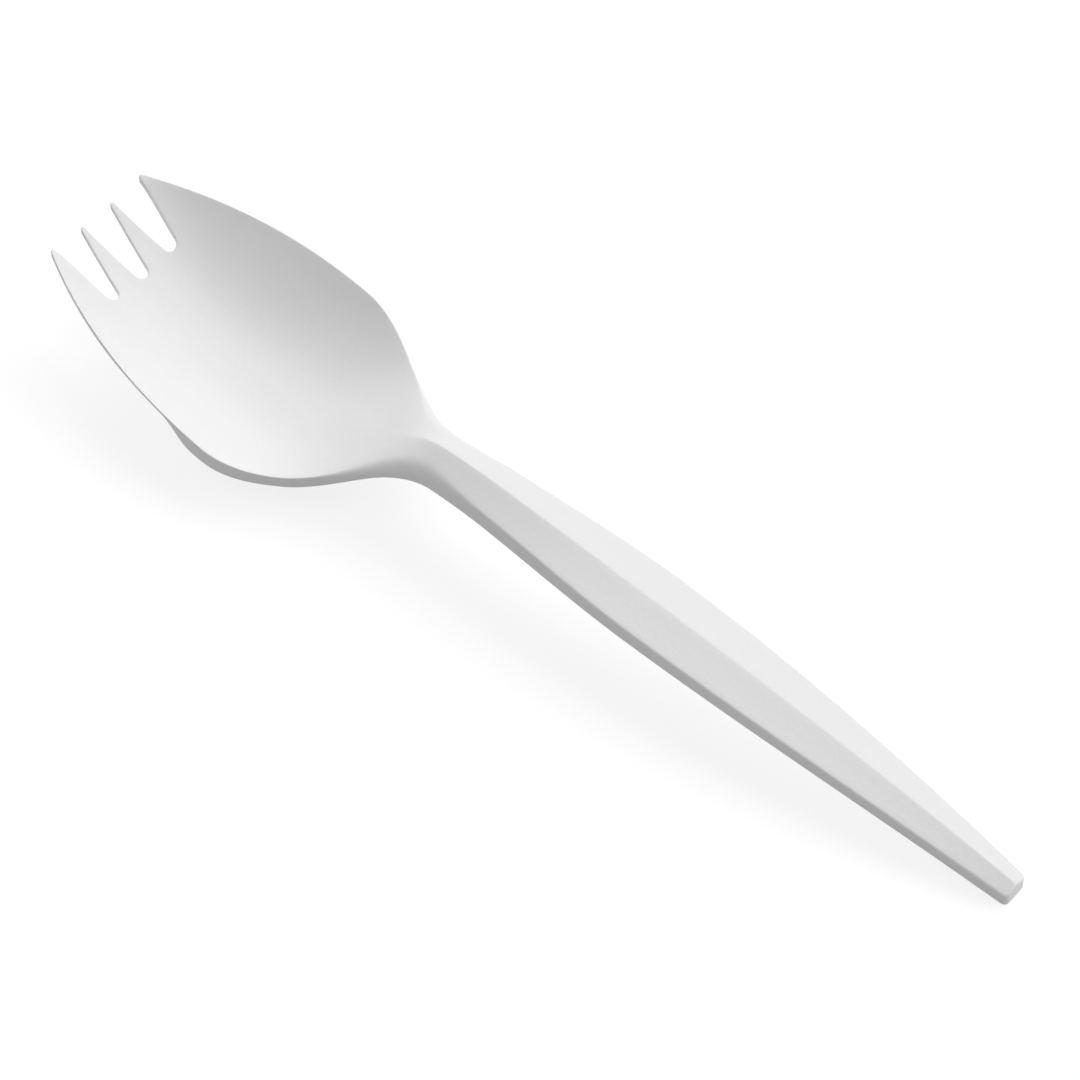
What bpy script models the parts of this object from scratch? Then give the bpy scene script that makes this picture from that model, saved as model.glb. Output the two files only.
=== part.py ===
"""A disposable plastic spork, moulded in one piece, lying as it rests: on its bowl and on its handle's end.

While it is shaped, x runs from the handle's blunt end to the tips of the tines, y across, and z up from the table.
The finished mesh is centred on x.
"""

import math

import bmesh
import bpy
from mathutils import Vector
from mathutils.geometry import delaunay_2d_cdt

MM = 0.001

# Lengths along the spork
HANDLE_LENGTH = 86.6 * MM
HEEL_LENGTH = 27.4 * MM
BOWL_LENGTH = 24 * MM
TINE_LENGTH = 8 * MM
END_TO_WIDEST = 55 * MM
ARCH_TO_NECK = 8.6 * MM
NECK_TO_CREST = 0.4 * MM
NECK_TO_RIDGE_END = 8.4 * MM
NECK_TO_HEEL = 17.4 * MM
BOTTOM_TO_WIDEST = 1 * MM
WIDEST_TO_SIDE = 2 * MM
SIDE_TO_THIN_RIM = 4.5 * MM
RIDGE_FADE = 6 * MM

# Widths, edge to edge, and how fast they change
END_WIDTH = 3.9 * MM
HANDLE_WIDTH = 10.2 * MM
NECK_WIDTH = 7.15 * MM
BOWL_WIDTH = 32.2 * MM
TINE_PITCH = 5.45 * MM
END_FLARE = 0.09
FRONT_TAPER = -0.52

# Roundings seen from above
END_CORNER_RADIUS = 0.8 * MM
TINE_TIP_RADIUS = 0.35 * MM
SLOT_ROOT_RADIUS = 1.0 * MM

# Heights of the upper edge over the table
END_HEIGHT = 1.95 * MM
ARCH_HEIGHT = 11.65 * MM
CREST_HEIGHT = 11.85 * MM
HEEL_HEIGHT = 5.75 * MM
SIDE_HEIGHT = 8 * MM
TIP_HEIGHT = 14.05 * MM

# Heights of the middle line: the ridge over the handle's edges, then the bowl's floor over the table
END_RIDGE = 0.7 * MM
HANDLE_RIDGE = 0.95 * MM
NECK_RIDGE = 1.5 * MM
RIDGE_END_HEIGHT = 9.65 * MM
SLOT_FLOOR_HEIGHT = 7.2 * MM
TIP_FLOOR_HEIGHT = 13.5 * MM
BOWL_SQUARENESS = 2.7
FLANK_HOLLOW = 0.9

# Walls, and how tall the side face is under the upper edge
WALL = 1.2 * MM
TINE_WALL = 0.7 * MM
HANDLE_SIDE = 2.5 * MM
NECK_SIDE = 3.0 * MM
HEEL_SIDE = 2.2 * MM
SKIRT_SIDE = 3.3 * MM
THIN_RIM_SIDE = 0.7 * MM
TIP_SIDE = 1.2 * MM
RIM_BAND = 0.3

# The channel under the handle
RAIL = 1.2 * MM
CHANNEL_DRAFT = 0.25 * MM
END_BLOCK = 5 * MM
CHANNEL_TO_NECK = 4.6 * MM

# Mesh spacing, and the turn from which an edge is shaded as a corner
EDGE_STEP = 1.3 * MM
ARC_STEP = 0.25 * MM
FACE_STEP = 1.5 * MM
SLOPE_STEP = 0.2 * MM
SHARP_ANGLE = math.radians(35)

NECK_AT = HANDLE_LENGTH
ARCH_AT = NECK_AT - ARCH_TO_NECK
CREST_AT = NECK_AT + NECK_TO_CREST
CHANNEL_END_AT = NECK_AT - CHANNEL_TO_NECK
RIDGE_END_AT = NECK_AT + NECK_TO_RIDGE_END
HEEL_AT = NECK_AT + NECK_TO_HEEL
WIDEST_AT = NECK_AT + HEEL_LENGTH
BOTTOM_AT = WIDEST_AT - BOTTOM_TO_WIDEST
SIDE_AT = WIDEST_AT + WIDEST_TO_SIDE
THIN_RIM_AT = SIDE_AT + SIDE_TO_THIN_RIM
SLOT_AT = WIDEST_AT + BOWL_LENGTH
LENGTH = SLOT_AT + TINE_LENGTH

# The outer tine's tip is a small circle that the front edge runs into
TIP_CENTRE_AT = LENGTH - TINE_TIP_RADIUS
OUTER_TIP_Y = 1.5 * TINE_PITCH
FRONT_ANGLE = math.atan(-FRONT_TAPER)
EDGE_END_AT = TIP_CENTRE_AT + TINE_TIP_RADIUS * math.sin(FRONT_ANGLE)
EDGE_END_Y = OUTER_TIP_Y + TINE_TIP_RADIUS * math.cos(FRONT_ANGLE)

# Each curve along the spork is smooth through knots of place, value and slope
WIDTH_CURVE = [
    (0.0, END_WIDTH / 2, END_FLARE),
    (END_TO_WIDEST, HANDLE_WIDTH / 2, 0.0),
    (NECK_AT, NECK_WIDTH / 2, 0.0),
    (WIDEST_AT, BOWL_WIDTH / 2, 0.0),
    (EDGE_END_AT, EDGE_END_Y, FRONT_TAPER),
]
EDGE_CURVE = [
    (0.0, END_HEIGHT, 0.21),
    (ARCH_AT, ARCH_HEIGHT, 0.07),
    (CREST_AT, CREST_HEIGHT, 0.0),
    (HEEL_AT, HEEL_HEIGHT, 0.0),
    (SIDE_AT, SIDE_HEIGHT, 0.235),
    (LENGTH, TIP_HEIGHT, 0.19),
]
RIDGE_CURVE = [
    (0.0, END_RIDGE, 0.0),
    (END_TO_WIDEST, HANDLE_RIDGE, 0.008),
    (CREST_AT, NECK_RIDGE, 0.0),
]
FLOOR_CURVE = [
    (CREST_AT, CREST_HEIGHT + NECK_RIDGE, 0.0),
    (RIDGE_END_AT, RIDGE_END_HEIGHT, -0.72),
    (BOTTOM_AT, WALL, 0.0),
    (SLOT_AT, SLOT_FLOOR_HEIGHT, 0.62),
    (LENGTH, TIP_FLOOR_HEIGHT, 0.9),
]
SIDE_CURVE = [
    (0.0, END_HEIGHT, 0.0),
    (END_TO_WIDEST, HANDLE_SIDE, 0.01),
    (CREST_AT, NECK_SIDE, 0.0),
    (RIDGE_END_AT, HEEL_SIDE, 0.0),
    (HEEL_AT, HEEL_SIDE, 0.0),
    (SIDE_AT, SKIRT_SIDE, 0.0),
    (THIN_RIM_AT, THIN_RIM_SIDE, 0.0),
    (SLOT_AT, TIP_SIDE, 0.0),
]


def along(curve, x):
    """The value of a smooth curve at x."""
    pieces = [pair for pair in zip(curve, curve[1:]) if x <= pair[1][0]] or [curve[-2:]]
    (x0, value0, slope0), (x1, value1, slope1) = pieces[0]
    run = x1 - x0
    t = min(max((x - x0) / run, 0.0), 1.0)
    bend = t * (1 - t) ** 2 * slope0 - t * t * (1 - t) * slope1
    return value0 + (value1 - value0) * t * t * (3 - 2 * t) + bend * run


def fade(start, end, x):
    """0 up to start, 1 from end on, and smooth between them."""
    t = min(max((x - start) / (end - start), 0.0), 1.0)
    return t * t * (3 - 2 * t)


def share_out(x, y):
    """How far out a point lies, from 0 on the middle line to 1 at the edge."""
    return min(abs(y) / along(WIDTH_CURVE, x), 1.0)


def upper_height(x, y):
    """A shallow roof along the handle, and a square-sided trough in the bowl."""
    edge = along(EDGE_CURVE, x)
    if x < CREST_AT:
        middle = edge + along(RIDGE_CURVE, x)
    else:
        middle = along(FLOOR_CURVE, x)
    out = share_out(x, y)
    roof = out**FLANK_HOLLOW
    bowl = fade(CREST_AT, RIDGE_END_AT + RIDGE_FADE, x)
    return middle + (edge - middle) * (roof + (out**BOWL_SQUARENESS - roof) * bowl)


def upright_wall(x, y):
    """The wall's upright thickness, more on a slope, so that it is even square to the face."""
    y = abs(y)
    slope_x = (upper_height(x + SLOPE_STEP, y) - upper_height(x - SLOPE_STEP, y)) / (2 * SLOPE_STEP)
    slope_y = (upper_height(x, y + SLOPE_STEP) - upper_height(x, y - SLOPE_STEP)) / (2 * SLOPE_STEP)
    wall = WALL + (TINE_WALL - WALL) * fade(WIDEST_AT, LENGTH, x)
    return wall * math.sqrt(1 + slope_x**2 + slope_y**2)


def in_channel(x, y, inset):
    spare = 0.001 * MM
    clear = along(WIDTH_CURVE, x) - RAIL - inset - abs(y)
    return END_BLOCK + inset - spare < x < CHANNEL_END_AT - inset + spare and clear > -spare


def lower_height(x, y):
    """Flat rails and a channel under the handle, and an even wall under the bowl."""
    if in_channel(x, y, CHANNEL_DRAFT):
        return upper_height(x, y) - WALL
    side = along(SIDE_CURVE, x)
    wall = upright_wall(x, y)
    wall += (side - wall) * fade(1 - RIM_BAND, 1, share_out(x, y))
    shell = upper_height(x, y) - wall
    rails = along(EDGE_CURVE, x) - side
    return rails + (shell - rails) * fade(CHANNEL_END_AT, RIDGE_END_AT + RIDGE_FADE, x)


def stations(start, end, step):
    """Even places from start to end, no further than step apart."""
    count = max(1, math.ceil((end - start) / step))
    return [start + (end - start) * i / count for i in range(count + 1)]


def arc(centre, radius, start, end):
    """Points on an arc, from one angle to another in radians."""
    count = max(3, round(abs(end - start) * radius / ARC_STEP))
    angles = [start + (end - start) * i / count for i in range(count + 1)]
    return [(centre[0] + radius * math.cos(a), centre[1] + radius * math.sin(a)) for a in angles]


def slot_side_lean():
    """The angle between a slot's straight side and the spork's length."""
    run = TIP_CENTRE_AT - SLOT_AT - SLOT_ROOT_RADIUS
    spread = TINE_PITCH / 2
    return math.atan2(spread, run) - math.asin((SLOT_ROOT_RADIUS + TINE_TIP_RADIUS) / math.hypot(run, spread))


def half_outline():
    """The outline seen from above where y is positive, from the handle's end to the middle slot's root."""
    square = math.pi / 2
    lean = slot_side_lean()
    corner = (END_CORNER_RADIUS, along(WIDTH_CURVE, END_CORNER_RADIUS) - END_CORNER_RADIUS)
    root_at = SLOT_AT + SLOT_ROOT_RADIUS
    outline = [(0.0, 0.0)]
    outline += arc(corner, END_CORNER_RADIUS, 2 * square, square)
    outline += [(x, along(WIDTH_CURVE, x)) for x in stations(END_CORNER_RADIUS, EDGE_END_AT, EDGE_STEP)[1:-1]]
    outline += arc((TIP_CENTRE_AT, OUTER_TIP_Y), TINE_TIP_RADIUS, square - FRONT_ANGLE, lean - square)
    outline += arc((root_at, TINE_PITCH), SLOT_ROOT_RADIUS, square + lean, 3 * square - lean)
    outline += arc((TIP_CENTRE_AT, TINE_PITCH / 2), TINE_TIP_RADIUS, square - lean, lean - square)
    outline += arc((root_at, 0.0), SLOT_ROOT_RADIUS, square + lean, 2 * square)
    return outline


def full_outline():
    half = half_outline()
    return [(x, -y) for x, y in half] + half[-2:0:-1]


def channel_outline(inset):
    places = stations(END_BLOCK + inset, CHANNEL_END_AT - inset, EDGE_STEP)
    side = [(x, along(WIDTH_CURVE, x) - RAIL - inset) for x in places]
    return [(x, -y) for x, y in side] + side[::-1]


def inside(loop, x, y):
    crossings = 0
    for (x0, y0), (x1, y1) in zip(loop, loop[1:] + loop[:1]):
        if (y0 > y) != (y1 > y) and x < x0 + (x1 - x0) * (y - y0) / (y1 - y0):
            crossings += 1
    return crossings % 2 == 1


def distance(line, x, y):
    """How far a point lies from a row of joined points."""
    nearest = math.inf
    for (x0, y0), (x1, y1) in zip(line, line[1:]):
        run_x, run_y = x1 - x0, y1 - y0
        t = min(max(((x - x0) * run_x + (y - y0) * run_y) / (run_x**2 + run_y**2), 0.0), 1.0)
        nearest = min(nearest, math.hypot(x - x0 - t * run_x, y - y0 - t * run_y))
    return nearest


def face_points(outline, lines):
    """Rows of points across the outline, clear of the lines."""
    points = []
    for x in stations(0.0, LENGTH, FACE_STEP)[1:-1]:
        count = math.ceil(along(WIDTH_CURVE, x) / FACE_STEP)
        for column in range(1 - count, count):
            y = along(WIDTH_CURVE, x) * column / count
            if inside(outline, x, y) and all(distance(line, x, y) > FACE_STEP / 3 for line in lines):
                points.append((x, y))
    return points


def add_face(mesh, outline, loops, rows, height):
    """Adds one curved face over the outline, with edges kept along inner loops and open rows."""
    lines = [loop + loop[:1] for loop in [outline] + loops] + rows
    points = []
    edges = []
    for line in lines:
        closed = line[0] == line[-1]
        first = len(points)
        points += line[:-1] if closed else line
        edges += [(first + i, first + i + 1) for i in range(len(line) - 1)]
        if closed:
            edges[-1] = (edges[-1][0], first)
    points += face_points(outline, lines)
    flat, _, triangles, *_ = delaunay_2d_cdt([Vector(p) for p in points], edges, [], 0, 1e-9)
    corners = [mesh.verts.new((x - LENGTH / 2, y, height(x, y))) for x, y in flat]
    for triangle in triangles:
        middle = sum((flat[i] for i in triangle), Vector((0, 0))) / 3
        if inside(outline, *middle):
            mesh.faces.new([corners[i] for i in triangle])


def on_ridge(edge):
    """Whether an edge lies along the crest of the handle's roof."""
    return all(corner.co.y == 0 and corner.co.x < RIDGE_END_AT - LENGTH / 2 for corner in edge.verts)


def spork_mesh():
    outline = full_outline()
    ridge = [(x, 0.0) for x in stations(EDGE_STEP, RIDGE_END_AT, EDGE_STEP)]
    mesh = bmesh.new()
    add_face(mesh, outline, [], [ridge], upper_height)
    creases = [edge for edge in mesh.edges if on_ridge(edge)]
    add_face(mesh, outline, [channel_outline(0.0), channel_outline(CHANNEL_DRAFT)], [], lower_height)
    bmesh.ops.bridge_loops(mesh, edges=[edge for edge in mesh.edges if edge.is_boundary])
    bmesh.ops.recalc_face_normals(mesh, faces=mesh.faces)
    creases += [edge for edge in mesh.edges if edge.calc_face_angle() > SHARP_ANGLE]
    for face in mesh.faces:
        face.smooth = True
    for edge in creases:
        edge.smooth = False
    lowest = min(corner.co.z for corner in mesh.verts)
    bmesh.ops.translate(mesh, verts=mesh.verts, vec=(0, 0, -lowest))
    return mesh


def white_plastic():
    material = bpy.data.materials.new("white_plastic")
    material.use_nodes = True
    shader = material.node_tree.nodes["Principled BSDF"]
    shader.inputs["Base Color"].default_value = (0.86, 0.86, 0.86, 1)
    shader.inputs["Roughness"].default_value = 0.4
    shader.inputs["Metallic"].default_value = 0.0
    return material


def build():
    for old in list(bpy.data.objects):
        bpy.data.objects.remove(old)
    data = bpy.data.meshes.new("spork")
    mesh = spork_mesh()
    mesh.to_mesh(data)
    mesh.free()
    data.materials.append(white_plastic())
    bpy.context.scene.collection.objects.link(bpy.data.objects.new("spork", data))


build()
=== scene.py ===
"""A white disposable plastic spork lying on a white floor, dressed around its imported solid.

x runs along the spork from the handle's blunt end to the tips of its tines, y across it, and z up from the
floor. The spork starts as a flat blank of its plan shape, and a node tree raises it to its heights.
"""

import math

import bpy
import numpy as np
from mathutils import Matrix, Vector
from mathutils.geometry import delaunay_2d_cdt

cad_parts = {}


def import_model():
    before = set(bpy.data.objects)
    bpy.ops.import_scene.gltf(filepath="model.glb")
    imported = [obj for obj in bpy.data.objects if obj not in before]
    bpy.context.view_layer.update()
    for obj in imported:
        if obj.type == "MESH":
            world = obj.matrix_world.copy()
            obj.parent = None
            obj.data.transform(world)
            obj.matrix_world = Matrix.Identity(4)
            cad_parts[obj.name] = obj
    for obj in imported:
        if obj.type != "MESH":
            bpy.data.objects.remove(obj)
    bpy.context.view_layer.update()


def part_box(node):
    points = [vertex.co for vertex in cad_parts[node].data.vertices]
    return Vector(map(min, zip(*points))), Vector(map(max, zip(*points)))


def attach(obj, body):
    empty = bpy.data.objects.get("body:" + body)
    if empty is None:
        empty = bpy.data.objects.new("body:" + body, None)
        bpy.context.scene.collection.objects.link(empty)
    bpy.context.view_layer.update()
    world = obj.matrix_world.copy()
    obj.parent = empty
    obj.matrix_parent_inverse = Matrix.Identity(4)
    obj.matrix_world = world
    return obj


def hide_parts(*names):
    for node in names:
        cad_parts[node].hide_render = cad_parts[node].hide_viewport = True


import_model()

MM = 0.001

# The spork's two ends, from its solid
END_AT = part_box("spork")[0].x
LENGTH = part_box("spork")[1].x - END_AT

# Sizes of the raised form. Places count from the handle's blunt end, and heights from the floor
SIZES = {
    "handle widest at": 55 * MM,
    "arch at": 78 * MM,
    "channel end at": 82 * MM,
    "crest at": 87 * MM,
    "roof end at": 88 * MM,
    "soft rim at": 92 * MM,
    "ridge end at": 95 * MM,
    "bowl start at": 101 * MM,
    "heel at": 104 * MM,
    "bottom at": 113 * MM,
    "side at": 116 * MM,
    "thin rim at": 120.5 * MM,
    "slots at": 138 * MM,
    "tips at": LENGTH,
    "end height": 1.95 * MM,
    "arch height": 11.65 * MM,
    "crest height": 11.85 * MM,
    "heel height": 5.75 * MM,
    "side height": 8 * MM,
    "tip height": 14.05 * MM,
    "end ridge": 0.7 * MM,
    "handle ridge": 0.95 * MM,
    "neck ridge": 1.5 * MM,
    "ridge end height": 9.65 * MM,
    "bowl floor height": 1.2 * MM,
    "slot floor height": 7.2 * MM,
    "tip floor height": 13.5 * MM,
    "bowl squareness": 2.7,
    "ridge softness": 0.07,
    "flank hollow": 0.9,
    "wall": 1.2 * MM,
    "tine wall": 0.7 * MM,
    "handle side": 2.5 * MM,
    "neck side": 3.0 * MM,
    "heel side": 2.2 * MM,
    "skirt side": 3.3 * MM,
    "thin rim side": 0.7 * MM,
    "tip side": 1.2 * MM,
    "rim band": 0.3,
    "edge rounding": 0.25 * MM,
    "heel rounding": 1.6 * MM,
    "under rounding": 0.2 * MM,
    "belly rounding": 0.6 * MM,
}

# How fast the curves along the spork rise, or fall, at their places
END_RISE = 0.21
ARCH_RISE = 0.07
SIDE_RISE = 0.235
TIP_RISE = 0.19
HANDLE_RIDGE_RISE = 0.008
RIDGE_END_FALL = -0.72
SLOT_FLOOR_RISE = 0.62
TIP_FLOOR_RISE = 0.9
HANDLE_SIDE_RISE = 0.01

# The plan shape
NECK_AT = 86.6 * MM
BOWL_WIDEST_AT = 114 * MM
END_WIDTH = 3.9 * MM
HANDLE_WIDTH = 10.2 * MM
NECK_WIDTH = 7.15 * MM
BOWL_WIDTH = 32.19 * MM
TINE_PITCH = 5.45 * MM
END_FLARE = 0.09
FRONT_TAPER = -0.52
END_CORNER_RADIUS = 0.8 * MM
TINE_TIP_RADIUS = 0.35 * MM
SLOT_ROOT_RADIUS = 1.0 * MM
TIP_CENTRE_AT = LENGTH - TINE_TIP_RADIUS
FRONT_ANGLE = math.atan(-FRONT_TAPER)
EDGE_END_AT = TIP_CENTRE_AT + TINE_TIP_RADIUS * math.sin(FRONT_ANGLE)
EDGE_END_Y = 1.5 * TINE_PITCH + TINE_TIP_RADIUS * math.cos(FRONT_ANGLE)
WIDTH_CURVE = [
    (0.0, END_WIDTH / 2, END_FLARE),
    (SIZES["handle widest at"], HANDLE_WIDTH / 2, 0.0),
    (NECK_AT, NECK_WIDTH / 2, 0.0),
    (BOWL_WIDEST_AT, BOWL_WIDTH / 2, 0.0),
    (EDGE_END_AT, EDGE_END_Y, FRONT_TAPER),
]

# The channel under the handle
RAIL = 1.2 * MM
END_BLOCK = 5 * MM
CHANNEL_CORNER_RADIUS = 0.5 * MM
CHANNEL_LIP = 0.15 * MM
CHANNEL_DRAFT = 0.35 * MM

# Spacing of the mesh
EDGE_STEP = 0.5 * MM
ARC_STEP = 0.08 * MM
FACE_STEP = 0.6 * MM
RIDGE_LINES = [0.0, 0.12 * MM, 0.3 * MM]
ROUNDING_RINGS = 7
CHANNEL_RINGS = 8
LEAST_ARC_STEPS = 4
MERGE_GAP = 1e-9

# The band between the sheets is half under, so faces with less than this are the upper sheet's
UPPER_SHEET_BELOW = 0.25

# The plastic: its tint, how far that wanders, its sheen, and the depth and size of its mould's texture
PLASTIC_WHITE = 0.86
PLASTIC_DRIFT = 0.012
SHEEN_ROUGH = 0.45
SHEEN_DRIFT = 0.05
GLOSS = 0.3
TEXTURE_DEPTH = 0.01 * MM
TEXTURE_SIZE = 0.5 * MM
FLOW_DEPTH = 0.03 * MM
FLOW_SIZE = 5 * MM
FLOW_STRETCH = 6
NOISE_DETAIL = 2.0

# The floor: how it bounces light, and how it looks where it is lit and where the spork shades it
FLOOR_REACH = 3.0
FLOOR_BOUNCE = 0.35
FLOOR_GLOW = 0.8
FLOOR_SHADOW = 0.28

# The lamps, as azimuth and elevation in degrees and strength, and the fill from all round
LAMP_WIDTH = math.radians(40)
LAMPS = [
    (225, 30, 0.32),
    (315, 30, 0.27),
    (270, 52, 0.3),
    (150, 10, 0.22),
    (45, 52, 0.14),
    (30, 10, 0.09),
]
FILL = 0.17

# The camera, fitted to the photograph's outlines: a long lens that looks down from beyond the left side
CAMERA_TARGET = Vector((0.41, -1.37, 5.0)) * MM
CAMERA_DISTANCE = 500 * MM
CAMERA_ELEVATION = math.radians(54)
CAMERA_TURN = math.radians(39.58)
CAMERA_ROLL = math.radians(0.1)
CAMERA_LENS = 135.5
CAMERA_SENSOR = 36


class Field:
    """A node's output that takes part in arithmetic: each operator adds a Math node to its tree."""

    def __init__(self, tree, socket):
        self.tree = tree
        self.socket = socket

    def __add__(self, other):
        return self.tree.maths("ADD", self, other)

    def __sub__(self, other):
        return self.tree.maths("SUBTRACT", self, other)

    def __rsub__(self, other):
        return self.tree.maths("SUBTRACT", other, self)

    def __mul__(self, other):
        return self.tree.maths("MULTIPLY", self, other)

    def __truediv__(self, other):
        return self.tree.maths("DIVIDE", self, other)

    def __pow__(self, other):
        return self.tree.maths("POWER", self, other)

    __radd__ = __add__
    __rmul__ = __mul__


class Tree:
    """Adds nodes to a geometry tree or to a material."""

    def __init__(self, data):
        self.data = data

    def add(self, kind, settings=None, inputs=None, output=0):
        """Adds a node, sets it up, gives its sockets values or links, and returns one of its outputs."""
        node = self.data.nodes.new(kind)
        for name, value in (settings or {}).items():
            setattr(node, name, value)
        for name, value in (inputs or {}).items():
            if isinstance(value, Field):
                self.data.links.new(value.socket, node.inputs[name])
            else:
                node.inputs[name].default_value = value
        return Field(self, node.outputs[output]) if node.outputs else None

    def maths(self, operation, *values):
        return self.add("ShaderNodeMath", {"operation": operation}, dict(enumerate(values)))


def share(x, start, end, smooth=False):
    """How far x has come from start to end, from 0 to 1, for numbers and for fields."""
    if isinstance(x, Field):
        settings = {"interpolation_type": "SMOOTHSTEP" if smooth else "LINEAR"}
        return x.tree.add("ShaderNodeMapRange", settings, {"Value": x, "From Min": start, "From Max": end})
    t = np.clip((x - start) / (end - start), 0, 1)
    return t * t * (3 - 2 * t) if smooth else t


def along(curve, x):
    """The value at x of a smooth curve through knots of place, value and slope."""
    total = curve[0][1]
    for (x0, value0, slope0), (x1, value1, slope1) in zip(curve, curve[1:]):
        t = share(x, x0, x1)
        bend = t * (1 - t) * ((1 - t) * slope0 - t * slope1)
        total = (value1 - value0) * share(x, x0, x1, smooth=True) + (x1 - x0) * bend + total
    return total


def upper_rounding(size, x):
    """The radius of the upper edge, which is far softer where the handle spreads into the bowl."""
    rise = share(x, size["arch at"], size["soft rim at"], smooth=True)
    fall = share(x, size["soft rim at"], size["bowl start at"], smooth=True)
    return (size["heel rounding"] - size["edge rounding"]) * rise * (1 - fall) + size["edge rounding"]


def under_rounding(size, x):
    """The radius of the lower edge, where the bowl's side curves under behind its widest place."""
    rise = share(x, size["roof end at"], size["heel at"], smooth=True)
    fall = share(x, size["side at"], size["thin rim at"], smooth=True)
    return (size["belly rounding"] - size["under rounding"]) * rise * (1 - fall) + size["under rounding"]


def arc(centre, radius, start, end):
    """Points on an arc, from one angle to another in radians."""
    angles = np.linspace(start, end, max(LEAST_ARC_STEPS, round(abs(end - start) * radius / ARC_STEP)) + 1)
    return np.column_stack((centre[0] + radius * np.cos(angles), centre[1] + radius * np.sin(angles)))


def both_sides(half):
    """A closed loop, anticlockwise from above, from its half where y is positive."""
    mirrored = half * (1, -1)
    return np.concatenate((mirrored, half[-2:0:-1]))


def stations(start, end, step):
    return np.linspace(start, end, max(1, math.ceil((end - start) / step)) + 1)


def divided(line):
    """A row of points with even ones added along its straight runs, about the edge's step apart."""
    points = []
    for start, end in zip(line, line[1:]):
        count = max(1, round(math.dist(start, end) / EDGE_STEP))
        points += [start + (end - start) * i / count for i in range(count)]
    return np.array(points + [line[-1]])


def outline():
    """The spork from above. The tines' straight sides touch round tips and round slot roots."""
    square = math.pi / 2
    root_at = SIZES["slots at"] + SLOT_ROOT_RADIUS
    run = TIP_CENTRE_AT - root_at
    spread = TINE_PITCH / 2
    lean = math.atan2(spread, run) - math.asin((SLOT_ROOT_RADIUS + TINE_TIP_RADIUS) / math.hypot(run, spread))
    corner = (END_CORNER_RADIUS, along(WIDTH_CURVE, END_CORNER_RADIUS) - END_CORNER_RADIUS)
    side = stations(END_CORNER_RADIUS, EDGE_END_AT, EDGE_STEP)[1:-1]
    half = [
        [(0.0, 0.0)],
        arc(corner, END_CORNER_RADIUS, 2 * square, square),
        np.column_stack((side, along(WIDTH_CURVE, side))),
        arc((TIP_CENTRE_AT, 3 * spread), TINE_TIP_RADIUS, square - FRONT_ANGLE, lean - square),
        arc((root_at, 2 * spread), SLOT_ROOT_RADIUS, square + lean, 3 * square - lean),
        arc((TIP_CENTRE_AT, spread), TINE_TIP_RADIUS, square - lean, lean - square),
        arc((root_at, 0.0), SLOT_ROOT_RADIUS, square + lean, 2 * square),
    ]
    return both_sides(divided(np.concatenate(half)))


def channel_outline():
    """The channel under the handle, a rail's width in from its edges."""
    start = (END_BLOCK + CHANNEL_CORNER_RADIUS, along(WIDTH_CURVE, END_BLOCK) - RAIL - CHANNEL_CORNER_RADIUS)
    last = SIZES["channel end at"]
    end = (last - CHANNEL_CORNER_RADIUS, along(WIDTH_CURVE, last) - RAIL - CHANNEL_CORNER_RADIUS)
    side = stations(start[0], end[0], EDGE_STEP)[1:-1]
    half = [
        [(END_BLOCK, 0.0)],
        arc(start, CHANNEL_CORNER_RADIUS, math.pi, math.pi / 2),
        np.column_stack((side, along(WIDTH_CURVE, side) - RAIL)),
        arc(end, CHANNEL_CORNER_RADIUS, math.pi / 2, 0),
        [(last, 0.0)],
    ]
    return both_sides(np.concatenate(half))


def inset(loop, depths):
    """A closed anticlockwise loop moved inwards by one depth, or by a depth for each point."""
    before = loop - np.roll(loop, 1, axis=0)
    after = np.roll(loop, -1, axis=0) - loop
    way = before / np.linalg.norm(before, axis=1)[:, None] + after / np.linalg.norm(after, axis=1)[:, None]
    way /= np.linalg.norm(way, axis=1)[:, None]
    inwards = np.column_stack((-way[:, 1], way[:, 0]))
    return loop + inwards * np.broadcast_to(depths, len(loop))[:, None]


def inside(loop, points):
    """Which points lie inside a closed loop."""
    x, y = points.T[:, :, None]
    (x0, y0), (x1, y1) = loop.T, np.roll(loop, -1, axis=0).T
    spans = (y0 > y) != (y1 > y)
    with np.errstate(divide="ignore", invalid="ignore"):
        left = x < x0 + (x1 - x0) * (y - y0) / (y1 - y0)
    return (spans & left).sum(axis=1) % 2 == 1


def distance(line, points):
    """How far each point lies from a row of joined points."""
    start, run = line[:-1], np.diff(line, axis=0)
    gap = points[:, None] - start
    t = np.clip((gap * run).sum(axis=2) / (run * run).sum(axis=1), 0, 1)
    return np.linalg.norm(gap - t[:, :, None] * run, axis=2).min(axis=1)


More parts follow.
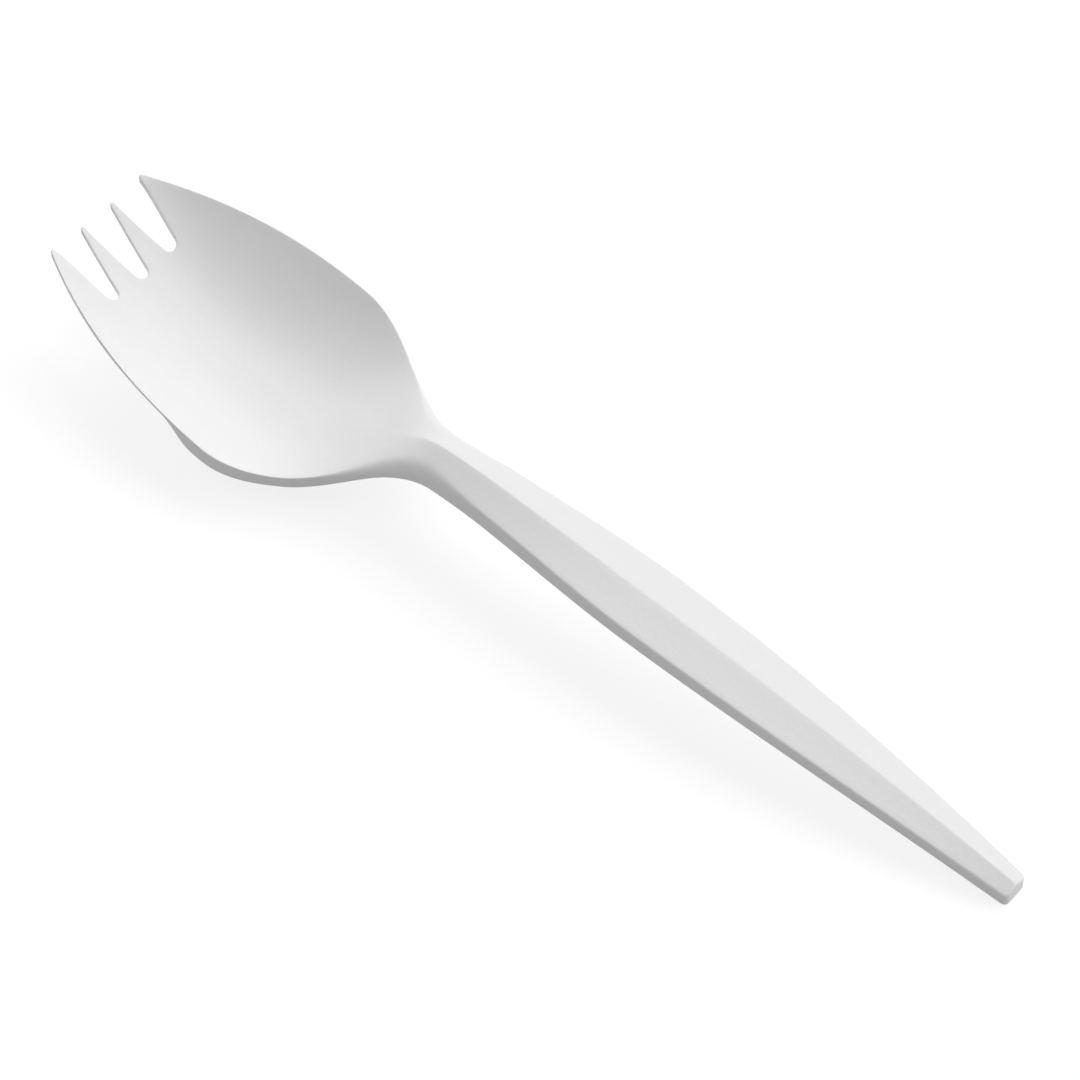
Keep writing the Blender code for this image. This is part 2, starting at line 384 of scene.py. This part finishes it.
class Blank:
    """The flat blank: points that say where they belong on the form, and faces between them."""

    def __init__(self):
        self.points = []
        self.marks = []
        self.faces = []

    def place(self, points, under, turn, channel):
        """Adds points and gives their numbers."""
        first = len(self.points)
        self.points += [tuple(point) for point in points]
        self.marks += [(under, turn, channel)] * len(points)
        return list(range(first, len(self.points)))

    def strip(self, outer, inner, under):
        """Joins two loops of as many points with a band of faces."""
        for i in range(len(outer)):
            j = (i + 1) % len(outer)
            face = [outer[i], outer[j], inner[j], inner[i]]
            self.faces.append(face[::-1] if under else face)

    def fill(self, border, holes, rows, under, channel):
        """Fills a loop, apart from its holes, with triangles in even rows."""
        loops = [border] + holes
        numbers = [number for loop in loops for number in loop]
        edges = []
        for loop in loops:
            first = len(edges)
            edges += [(first + i, first + (i + 1) % len(loop)) for i in range(len(loop))]
        shape = [np.array([self.points[number] for number in loop]) for loop in loops]
        for row in rows:
            added = self.place(row, under, 1.0, channel)
            edges += [(len(numbers) + i, len(numbers) + i + 1) for i in range(len(row) - 1)]
            numbers += added
        points = even_rows(shape[0][:, 0].min(), shape[0][:, 0].max())
        for line in [np.concatenate((loop, loop[:1])) for loop in shape] + rows:
            points = points[distance(line, points) > FACE_STEP / 2]
        numbers += self.place(points[within(shape, points)], under, 1.0, channel)
        flat = [Vector(self.points[number]) for number in numbers]
        corners, _, triangles, origins, *_ = delaunay_2d_cdt(flat, edges, [], 0, MERGE_GAP)
        sums = [sum((corners[i] for i in triangle), Vector((0, 0))) for triangle in triangles]
        middles = np.array([total / 3 for total in sums])
        for triangle, kept in zip(triangles, within(shape, middles)):
            if kept:
                face = [numbers[origins[i][0]] for i in triangle]
                self.faces.append(face[::-1] if under else face)


def even_rows(start, end):
    """Points in rows across the spork, every second row set off by half a step."""
    rows = []
    for number, x in enumerate(stations(start, end, FACE_STEP)):
        half = along(WIDTH_CURVE, x)
        count = math.ceil(half / FACE_STEP)
        columns = np.arange(-count, count + 1) + 0.5 * (number % 2)
        rows.append(np.column_stack((np.full(len(columns), x), half * columns / count)))
    return np.concatenate(rows)


def within(shape, points):
    """Which points lie inside the first loop and outside the others."""
    held = inside(shape[0], points)
    for hole in shape[1:]:
        held &= ~inside(hole, points)
    return held


def spork_blank():
    """The closed flat blank: an upper sheet, an under sheet, and the band between their edges."""
    blank = Blank()
    edge = outline()
    turns = np.linspace(0, 1, ROUNDING_RINGS)
    sheets = []
    for under in (0, 1):
        radius = (under_rounding if under else upper_rounding)(SIZES, edge[:, 0])
        rings = [
            blank.place(inset(edge, radius * (1 - math.cos(turn * math.pi / 2))), under, turn, 0.0)
            for turn in turns
        ]
        for outer, inner in zip(rings, rings[1:]):
            blank.strip(outer, inner, under)
        sheets.append(rings)
    blank.strip(sheets[1][0], sheets[0][0], under=0)
    ridge_at = stations(EDGE_STEP, SIZES["bowl start at"], EDGE_STEP)
    offsets = sorted({side * offset for offset in RIDGE_LINES for side in (-1, 1)})
    ridge = [np.column_stack((ridge_at, np.full(len(ridge_at), offset))) for offset in offsets]
    blank.fill(sheets[0][-1], [], ridge, 0, 0.0)
    depths = np.linspace(-CHANNEL_LIP, CHANNEL_DRAFT, CHANNEL_RINGS)
    wall = [
        blank.place(inset(channel_outline(), depth), 1, 1.0, share(depth, depths[0], depths[-1], smooth=True))
        for depth in depths
    ]
    for outer, inner in zip(wall, wall[1:]):
        blank.strip(outer, inner, under=1)
    blank.fill(sheets[1][-1], [wall[0]], [], 1, 0.0)
    blank.fill(wall[-1], [], [], 1, 1.0)
    return blank


def blank_mesh(blank):
    """The blank as a mesh, with its marks as attributes and how far out each point lies."""
    mesh = bpy.data.meshes.new("spork_blank")
    mesh.from_pydata([(x + END_AT, y, 0.0) for x, y in blank.points], [], blank.faces)
    x, y = np.array(blank.points).T
    under, turn, channel = np.array(blank.marks).T
    out = np.minimum(np.abs(y) / along(WIDTH_CURVE, x), 1.0)
    for name, values in {"under": under, "turn": turn, "channel": channel, "out": out}.items():
        attribute = mesh.attributes.new(name, "FLOAT", "POINT")
        attribute.data.foreach_set("value", values.astype(np.float32))
    return mesh


def upper_heights(size, x, out):
    """The upper face's edge, and its height: a low roof on the handle, a square-sided trough in the bowl."""
    crest = size["crest height"]
    top = crest + size["neck ridge"]
    handle_edge = along(
        [
            (0.0, size["end height"], END_RISE),
            (size["arch at"], size["arch height"], ARCH_RISE),
            (size["crest at"], crest, 0.0),
        ],
        x,
    )
    bowl_edge = along(
        [
            (size["crest at"], crest, 0.0),
            (size["heel at"], size["heel height"], 0.0),
            (size["side at"], size["side height"], SIDE_RISE),
            (size["tips at"], size["tip height"], TIP_RISE),
        ],
        x,
    )
    ridge = along(
        [
            (0.0, size["end ridge"], 0.0),
            (size["handle widest at"], size["handle ridge"], HANDLE_RIDGE_RISE),
            (size["crest at"], size["neck ridge"], 0.0),
        ],
        x,
    )
    floor = along(
        [
            (size["crest at"], top, 0.0),
            (size["ridge end at"], size["ridge end height"], RIDGE_END_FALL),
            (size["bottom at"], size["bowl floor height"], 0.0),
            (size["slots at"], size["slot floor height"], SLOT_FLOOR_RISE),
            (size["tips at"], size["tip floor height"], TIP_FLOOR_RISE),
        ],
        x,
    )
    edge = handle_edge + bowl_edge - crest
    middle = handle_edge + ridge + floor - top
    soft = size["ridge softness"]
    fall = (out * out + soft * soft) ** 0.5 - soft
    roof = (fall / ((soft * soft + 1) ** 0.5 - soft)) ** size["flank hollow"]
    bowl = share(x, size["roof end at"], size["bowl start at"], smooth=True)
    profile = roof + (out ** size["bowl squareness"] - roof) * bowl
    return edge, middle + (edge - middle) * profile


def lower_height(size, x, out, channel, edge, upper, upright):
    """The under face: flat rails and a channel under the handle, and an even wall under the bowl."""
    side = along(
        [
            (0.0, size["end height"], 0.0),
            (size["handle widest at"], size["handle side"], HANDLE_SIDE_RISE),
            (size["crest at"], size["neck side"], 0.0),
            (size["ridge end at"], size["heel side"], 0.0),
            (size["heel at"], size["heel side"], 0.0),
            (size["side at"], size["skirt side"], 0.0),
            (size["thin rim at"], size["thin rim side"], 0.0),
            (size["slots at"], size["tip side"], 0.0),
        ],
        x,
    )
    low_edge = edge - side
    handle = low_edge + (upper - size["wall"] - low_edge) * channel
    thinning = share(x, size["side at"], size["tips at"], smooth=True)
    wall = size["wall"] + (size["tine wall"] - size["wall"]) * thinning
    even = wall / upright
    thickness = even + (side - even) * share(out, 1 - size["rim band"], 1, smooth=True)
    shell = upper - thickness
    return handle + (shell - handle) * share(x, size["channel end at"], size["bowl start at"], smooth=True)


def form_tree():
    """The tree that raises the blank, with the form's sizes as its inputs."""
    group = bpy.data.node_groups.new("spork_form", "GeometryNodeTree")
    group.interface.new_socket("blank", in_out="INPUT", socket_type="NodeSocketGeometry")
    group.interface.new_socket("plastic", in_out="INPUT", socket_type="NodeSocketMaterial")
    for name in SIZES:
        group.interface.new_socket(name, in_out="INPUT", socket_type="NodeSocketFloat")
    group.interface.new_socket("spork", in_out="OUTPUT", socket_type="NodeSocketGeometry")
    tree = Tree(group)
    start = group.nodes.new("NodeGroupInput")
    size = {name: Field(tree, start.outputs[name]) for name in SIZES}
    blank = Field(tree, start.outputs["blank"])
    place = tree.add("GeometryNodeInputPosition")
    model_x = tree.add("ShaderNodeSeparateXYZ", {}, {"Vector": place}, "X")
    y = tree.add("ShaderNodeSeparateXYZ", {}, {"Vector": place}, "Y")
    x = model_x - END_AT
    under, turn, channel, out = (
        tree.add("GeometryNodeInputNamedAttribute", {"data_type": "FLOAT"}, {"Name": name})
        for name in ("under", "turn", "channel", "out")
    )

    def at_height(height):
        return tree.add("ShaderNodeCombineXYZ", {}, {"X": model_x, "Y": y, "Z": height})

    def raised(sheet, height):
        return tree.add("GeometryNodeSetPosition", {}, {"Geometry": sheet, "Position": at_height(height)})

    edge, upper = upper_heights(size, x, out)
    upper_sheet = tree.add(
        "GeometryNodeSeparateGeometry",
        {"domain": "FACE"},
        {"Geometry": blank, "Selection": tree.maths("LESS_THAN", under, UPPER_SHEET_BELOW)},
    )
    facing = tree.add(
        "GeometryNodeSampleNearestSurface",
        {"data_type": "FLOAT_VECTOR"},
        {
            "Mesh": raised(upper_sheet, upper),
            "Value": tree.add("GeometryNodeInputNormal"),
            "Sample Position": at_height(upper),
        },
    )
    upright = tree.add("ShaderNodeSeparateXYZ", {}, {"Vector": facing}, "Z")
    lower = lower_height(size, x, out, channel, edge, upper, upright)
    missing = 1 - tree.maths("SINE", turn * (math.pi / 2))
    upper = upper - upper_rounding(size, x) * missing
    lower = lower + under_rounding(size, x) * missing
    form = raised(blank, upper + (lower - upper) * under)
    whole = tree.add("GeometryNodeRealizeInstances", {}, {"Geometry": form})
    plastic = Field(tree, start.outputs["plastic"])
    finished = tree.add("GeometryNodeSetMaterial", {}, {"Geometry": whole, "Material": plastic})
    tree.add("NodeGroupOutput", {}, {"spork": finished})
    return group


def formed_mesh(blank, material):
    """The blank raised by the form's tree, as a plain mesh."""
    piece = bpy.data.objects.new("spork_form", blank)
    bpy.context.scene.collection.objects.link(piece)
    modifier = piece.modifiers.new("form", "NODES")
    modifier.node_group = form_tree()
    values = {"plastic": material, **SIZES}
    for item in modifier.node_group.interface.items_tree:
        if item.in_out == "INPUT" and item.name in values:
            modifier[item.identifier] = values[item.name]
    evaluated = piece.evaluated_get(bpy.context.evaluated_depsgraph_get())
    mesh = bpy.data.meshes.new_from_object(evaluated)
    bpy.data.objects.remove(piece)
    return mesh


def spork(material):
    """The whole moulding, standing on the floor."""
    mesh = formed_mesh(blank_mesh(spork_blank()), material)
    mesh.name = "spork_moulding"
    mesh.shade_smooth()
    lowest = min(corner.co.z for corner in mesh.vertices)
    mesh.transform(Matrix.Translation((0, 0, -lowest)))
    piece = bpy.data.objects.new("spork_moulding", mesh)
    bpy.context.scene.collection.objects.link(piece)
    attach(piece, "root")
    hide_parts("spork")
    return piece


def white_plastic():
    """Satin white polypropylene: a faint drift of tint and sheen, moulded texture, and flow marks."""
    material = bpy.data.materials.new("white_plastic")
    material.use_nodes = True
    tree = Tree(material.node_tree)
    tree.data.nodes.clear()
    place = tree.add("ShaderNodeTexCoord", {}, {}, "Object")

    def noise(size, stretch=1.0):
        """Noise from -1 to 1 with spots of about this size, longer along the spork."""
        scaled = tree.add(
            "ShaderNodeVectorMath",
            {"operation": "MULTIPLY"},
            {0: place, 1: (1 / (size * stretch), 1 / size, 1 / size)},
        )
        spots = tree.add("ShaderNodeTexNoise", {}, {"Vector": scaled, "Scale": 1.0, "Detail": NOISE_DETAIL})
        return spots * 2 - 1

    drift = noise(FLOW_SIZE, FLOW_STRETCH)
    tint = drift * PLASTIC_DRIFT + PLASTIC_WHITE
    rough = noise(FLOW_SIZE) * SHEEN_DRIFT + SHEEN_ROUGH
    relief = noise(TEXTURE_SIZE) * TEXTURE_DEPTH + drift * FLOW_DEPTH
    facing = tree.add("ShaderNodeBump", {}, {"Height": relief, "Distance": 1.0, "Strength": 1.0})
    surface = tree.add(
        "ShaderNodeBsdfPrincipled",
        {},
        {
            "Base Color": tree.add("ShaderNodeCombineColor", {}, {"Red": tint, "Green": tint, "Blue": tint}),
            "Roughness": rough,
            "Specular IOR Level": GLOSS,
            "Normal": facing,
        },
    )
    tree.add("ShaderNodeOutputMaterial", {}, {"Surface": surface})
    return material


def seen_directly(tree):
    """1 where the floor or backdrop is seen, mirrored or seen through, and 0 where it lights."""
    path = tree.data.nodes.new("ShaderNodeLightPath")
    camera_ray, glossy_ray, clear_ray = (
        Field(tree, path.outputs[name]) for name in ("Is Camera Ray", "Is Glossy Ray", "Is Transmission Ray")
    )
    return tree.maths("MINIMUM", camera_ray + glossy_ray + clear_ray, 1.0)


def floor_material():
    """White with the spork's soft shadow where it is seen, and grey to the light that bounces off it."""
    material = bpy.data.materials.new("white_floor")
    material.use_nodes = True
    tree = Tree(material.node_tree)
    tree.data.nodes.clear()
    bounce = tree.add("ShaderNodeBsdfDiffuse", {}, {"Color": (FLOOR_BOUNCE, FLOOR_BOUNCE, FLOOR_BOUNCE, 1)})
    glow = tree.add("ShaderNodeEmission", {}, {"Color": (1, 1, 1, 1), "Strength": FLOOR_GLOW})
    shaded = tree.add("ShaderNodeBsdfDiffuse", {}, {"Color": (FLOOR_SHADOW, FLOOR_SHADOW, FLOOR_SHADOW, 1)})
    seen = tree.add("ShaderNodeAddShader", {}, {0: glow, 1: shaded})
    surface = tree.add("ShaderNodeMixShader", {}, {0: seen_directly(tree), 1: bounce, 2: seen})
    tree.add("ShaderNodeOutputMaterial", {}, {"Surface": surface})
    return material


def floor():
    mesh = bpy.data.meshes.new("floor")
    corners = [(-1, -1), (1, -1), (1, 1), (-1, 1)]
    mesh.from_pydata([(x * FLOOR_REACH, y * FLOOR_REACH, 0.0) for x, y in corners], [], [(0, 1, 2, 3)])
    mesh.materials.append(floor_material())
    piece = bpy.data.objects.new("floor", mesh)
    bpy.context.scene.collection.objects.link(piece)


def lamps():
    """Broad soft lamps all round, each given by where it stands, its height in degrees and its strength."""
    for azimuth, elevation, strength in LAMPS:
        data = bpy.data.lights.new("lamp", "SUN")
        data.energy = math.pi * strength
        data.angle = LAMP_WIDTH
        piece = bpy.data.objects.new("lamp", data)
        turn = math.radians(azimuth)
        rise = math.radians(elevation)
        towards = Vector((math.cos(turn) * math.cos(rise), math.sin(turn) * math.cos(rise), math.sin(rise)))
        piece.rotation_euler = towards.to_track_quat("Z", "Y").to_euler()
        bpy.context.scene.collection.objects.link(piece)


def camera():
    """Looks down on the spork from beyond its left side, with the bowl to the upper left."""
    ground = Vector((-math.sin(CAMERA_TURN), math.cos(CAMERA_TURN), 0))
    back = ground * math.cos(CAMERA_ELEVATION) + Vector((0, 0, math.sin(CAMERA_ELEVATION)))
    right = Vector((-math.cos(CAMERA_TURN), -math.sin(CAMERA_TURN), 0))
    up = back.cross(right)
    rolled_right = right * math.cos(CAMERA_ROLL) + up * math.sin(CAMERA_ROLL)
    rolled_up = up * math.cos(CAMERA_ROLL) - right * math.sin(CAMERA_ROLL)
    data = bpy.data.cameras.new("camera")
    data.lens = CAMERA_LENS
    data.sensor_width = CAMERA_SENSOR
    piece = bpy.data.objects.new("camera", data)
    turned = Matrix((rolled_right, rolled_up, back)).transposed().to_4x4()
    piece.matrix_world = Matrix.Translation(CAMERA_TARGET + back * CAMERA_DISTANCE) @ turned
    bpy.context.scene.collection.objects.link(piece)
    bpy.context.scene.camera = piece


def world():
    """White behind everything, and a faint even fill."""
    backdrop = bpy.data.worlds.new("backdrop")
    backdrop.use_nodes = True
    tree = Tree(backdrop.node_tree)
    tree.data.nodes.clear()
    strength = seen_directly(tree) * (1 - FILL) + FILL
    background = tree.add("ShaderNodeBackground", {}, {"Color": (1, 1, 1, 1), "Strength": strength})
    tree.add("ShaderNodeOutputWorld", {}, {"Surface": background})
    bpy.context.scene.world = backdrop


spork(white_plastic())
floor()
world()
lamps()
camera()
bpy.context.scene.view_settings.view_transform = "Standard"
